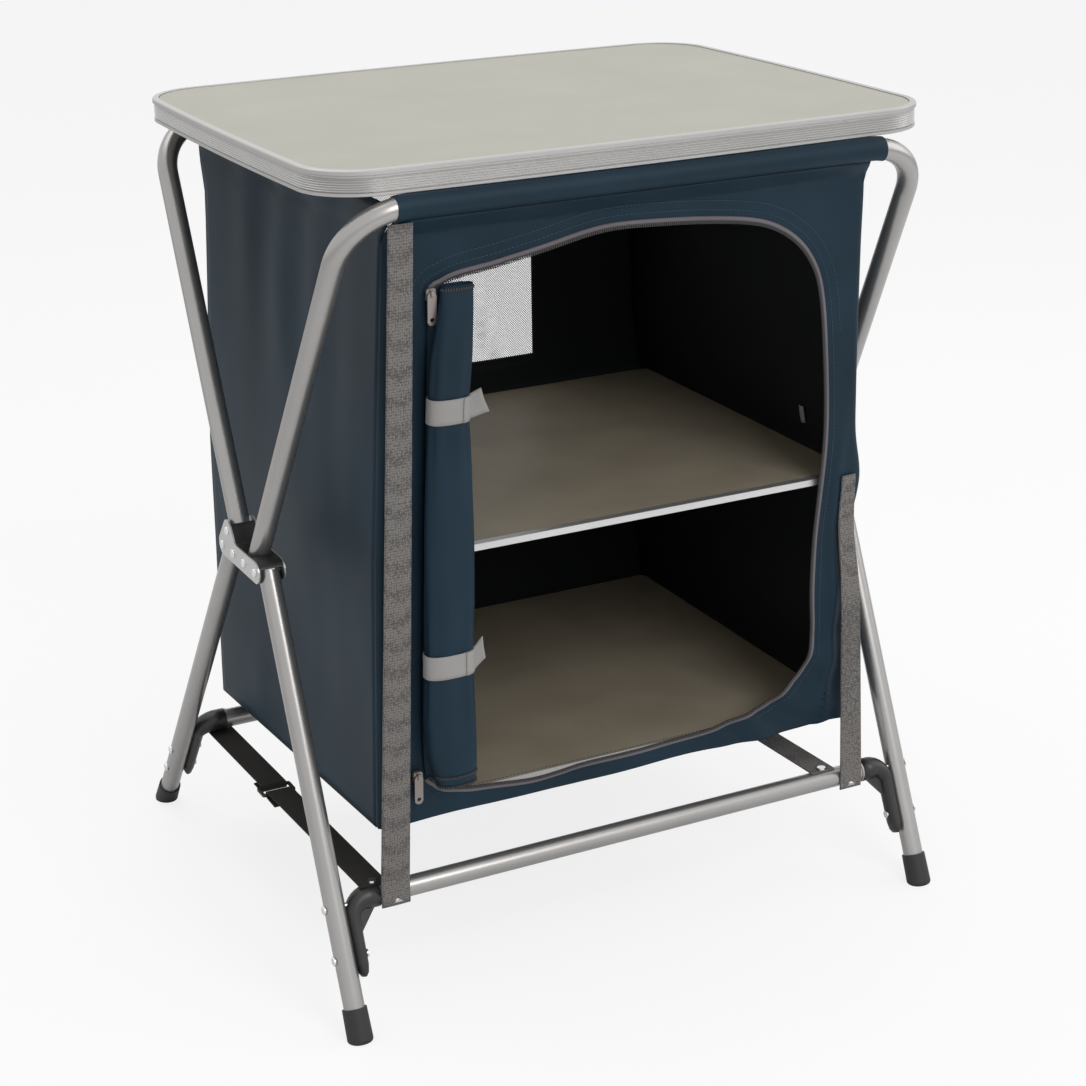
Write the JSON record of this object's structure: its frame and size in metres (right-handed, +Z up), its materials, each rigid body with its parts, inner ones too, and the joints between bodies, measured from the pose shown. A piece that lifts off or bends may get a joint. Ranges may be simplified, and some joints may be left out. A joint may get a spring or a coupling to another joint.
{
  "type": "folding camping cupboard",
  "caption": "Folding camping cupboard: laminate top in a ribbed metal rim on a crossed tube frame with riveted hubs, and a hanging navy fabric cabinet with shelves and a rolled-up zip door.",
  "frame": {"origin": "on the floor below the middle of the frame", "axes": "+Z up, -Y towards the door side, +X to the right of someone facing the door"},
  "size_m": [0.659, 0.5926, 0.81],
  "materials": {
    "grey_tube": "satin",
    "hub_plate": "satin",
    "black_moulding": "matte",
    "foot_rubber": "matte",
    "rivet_metal": "polished",
    "rim_aluminium": "satin",
    "top_laminate": "satin laminate",
    "shelf_laminate": "satin laminate",
    "cabinet_fabric": "woven",
    "window_mesh": "net",
    "zip_tape": "woven tape",
    "zip_metal": "satin",
    "loop_band": "napped",
    "grey_webbing": "woven webbing"
  },
  "bodies": {
    "rear_upper_frame": {"rear_upper_tube": "grey_tube", "left_hub_outer_plate": "hub_plate", "left_hub_inner_plate": "hub_plate", "left_hub_block": "black_moulding", "left_hub_rivets": "rivet_metal", "right_hub_outer_plate": "hub_plate", "right_hub_inner_plate": "hub_plate", "right_hub_block": "black_moulding", "right_hub_rivets": "rivet_metal", "rear_sleeve": "cabinet_fabric", "fabric_back": "cabinet_fabric", "mesh_window": "window_mesh", "fabric_left_side": "cabinet_fabric", "fabric_right_side": "cabinet_fabric"},
    "rear_lower_frame": {"rear_left_leg": "grey_tube", "rear_right_leg": "grey_tube", "rear_bottom_bar": "grey_tube", "rear_left_elbow": "black_moulding", "rear_right_elbow": "black_moulding", "rear_left_foot_cap": "foot_rubber", "rear_right_foot_cap": "foot_rubber", "rear_elbow_rivets": "rivet_metal", "rear_strap_rivets": "rivet_metal"},
    "front_upper_frame": {"front_upper_tube": "grey_tube", "front_sleeve": "cabinet_fabric", "fabric_front": "cabinet_fabric", "zip_tape": "zip_tape", "rolled_door": "cabinet_fabric", "upper_roll_strap": "loop_band", "lower_roll_strap": "loop_band", "upper_zip_slider": "zip_metal", "lower_zip_slider": "zip_metal", "left_vertical_strap": "grey_webbing"},
    "front_lower_frame": {"front_left_leg": "grey_tube", "front_right_leg": "grey_tube", "front_bottom_bar": "grey_tube", "front_left_elbow": "black_moulding", "front_right_elbow": "black_moulding", "front_left_foot_cap": "foot_rubber", "front_right_foot_cap": "foot_rubber", "front_elbow_rivets": "rivet_metal", "front_strap_rivets": "rivet_metal", "right_vertical_strap": "grey_webbing", "left_front_floor_web": "grey_webbing", "left_rear_floor_web": "grey_webbing", "right_floor_web": "grey_webbing"},
    "tabletop": {"tabletop_rim": "rim_aluminium", "tabletop_panel": "top_laminate", "tabletop_clips": "black_moulding", "clip_screws": "rivet_metal"},
    "mid_shelf": {"mid_shelf_board": "shelf_laminate", "mid_shelf_front_edge": "rim_aluminium"},
    "base_shelf": {"base_board": "shelf_laminate", "base_front_edge": "rim_aluminium", "fabric_bottom": "cabinet_fabric"},
    "web_buckle": {"floor_web_buckle": "black_moulding"},
    "upper_tab": {"upper_pull_tab": "zip_metal"},
    "lower_tab": {"lower_pull_tab": "zip_metal"}
  },
  "joints": [
    {"name": "frame_fold", "type": "hinge", "parent": "rear_upper_frame", "child": "rear_lower_frame", "pos_m": [0, -0.021, 0.4085], "axis": [1, 0, 0], "range_deg": [-72.78, 0], "deforming": ["fabric_back", "mesh_window", "fabric_left_side", "fabric_right_side", "fabric_front", "zip_tape", "rolled_door", "upper_roll_strap", "lower_roll_strap", "left_vertical_strap", "right_vertical_strap", "left_front_floor_web", "left_rear_floor_web", "right_floor_web", "fabric_bottom"]},
    {"name": "front_upper_fold", "type": "hinge", "parent": "rear_upper_frame", "child": "front_upper_frame", "pos_m": [0, -0.08, 0.4085], "axis": [1, 0, 0], "range_deg": [-64.55, 0]},
    {"name": "front_lower_fold", "type": "hinge", "parent": "rear_upper_frame", "child": "front_lower_frame", "pos_m": [0, -0.1095, 0.4085], "axis": [1, 0, 0], "range_deg": [-12.65, 0]},
    {"name": "tabletop_lift", "type": "slide", "parent": "rear_upper_frame", "child": "tabletop", "axis": [0, 0, 1], "range_m": [0, 0.248]},
    {"name": "mid_shelf_swing", "type": "hinge", "parent": "rear_upper_frame", "child": "mid_shelf", "pos_m": [0, -0.07395, 0.51109], "axis": [1, 0, 0], "range_deg": [0, 54.2]},
    {"name": "base_shelf_swing", "type": "hinge", "parent": "rear_upper_frame", "child": "base_shelf", "pos_m": [0, -0.2613, 0.33942], "axis": [1, 0, 0], "range_deg": [0, 54.2]},
    {"name": "web_buckle_travel", "type": "slide", "parent": "front_lower_frame", "child": "web_buckle", "axis": [0, -1, 0], "range_m": [0, 0.21]},
    {"name": "upper_tab_swing", "type": "hinge", "parent": "front_upper_frame", "child": "upper_tab", "pos_m": [-0.2145, -0.26556, 0.69479], "axis": [1, 0, 0], "range_deg": [-150, 0]},
    {"name": "lower_tab_swing", "type": "hinge", "parent": "front_upper_frame", "child": "lower_tab", "pos_m": [-0.2145, -0.23496, 0.22779], "axis": [1, 0, 0], "range_deg": [-150, 0]}
  ],
  "couplings": [
    {"joint": "front_upper_fold", "follows": "frame_fold", "ratio": 0.88659},
    {"joint": "front_lower_fold", "follows": "frame_fold", "ratio": 0.17315},
    {"joint": "tabletop_lift", "follows": "frame_fold", "m_per_rad": -0.195},
    {"joint": "mid_shelf_swing", "follows": "frame_fold", "ratio": -0.74412},
    {"joint": "base_shelf_swing", "follows": "frame_fold", "ratio": -0.74412},
    {"joint": "web_buckle_travel", "follows": "frame_fold", "m_per_rad": -0.165}
  ]
}
